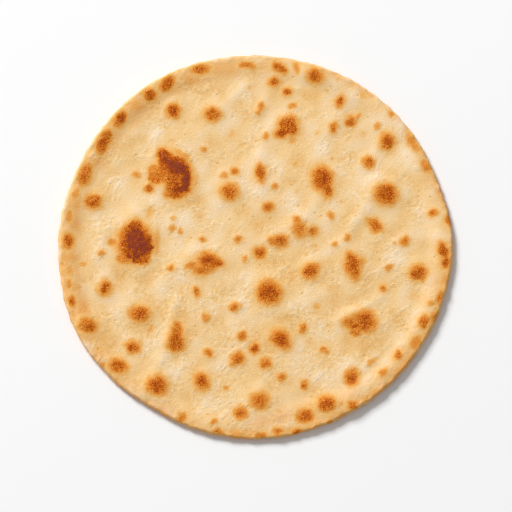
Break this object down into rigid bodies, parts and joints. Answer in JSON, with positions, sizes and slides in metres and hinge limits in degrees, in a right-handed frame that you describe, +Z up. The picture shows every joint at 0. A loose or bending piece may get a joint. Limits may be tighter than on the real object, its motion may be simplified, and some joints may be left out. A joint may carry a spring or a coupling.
{
  "type": "chapati flatbread",
  "caption": "Round unleavened flatbread, thin and slightly uneven, with a raised rolled rim, low blisters and browned griddle spots, lying flat.",
  "frame": {"origin": "under the middle of the bread, on the surface that it lies on", "axes": "+Z up through the bread's thickness; -Y is the near side and +X the right-hand side of the bread as first seen"},
  "size_m": [0.181, 0.1804, 0.0046],
  "materials": {
    "baked_bread": "matte"
  },
  "bodies": {
    "root": {"chapati": "baked_bread"}
  },
  "joints": []
}
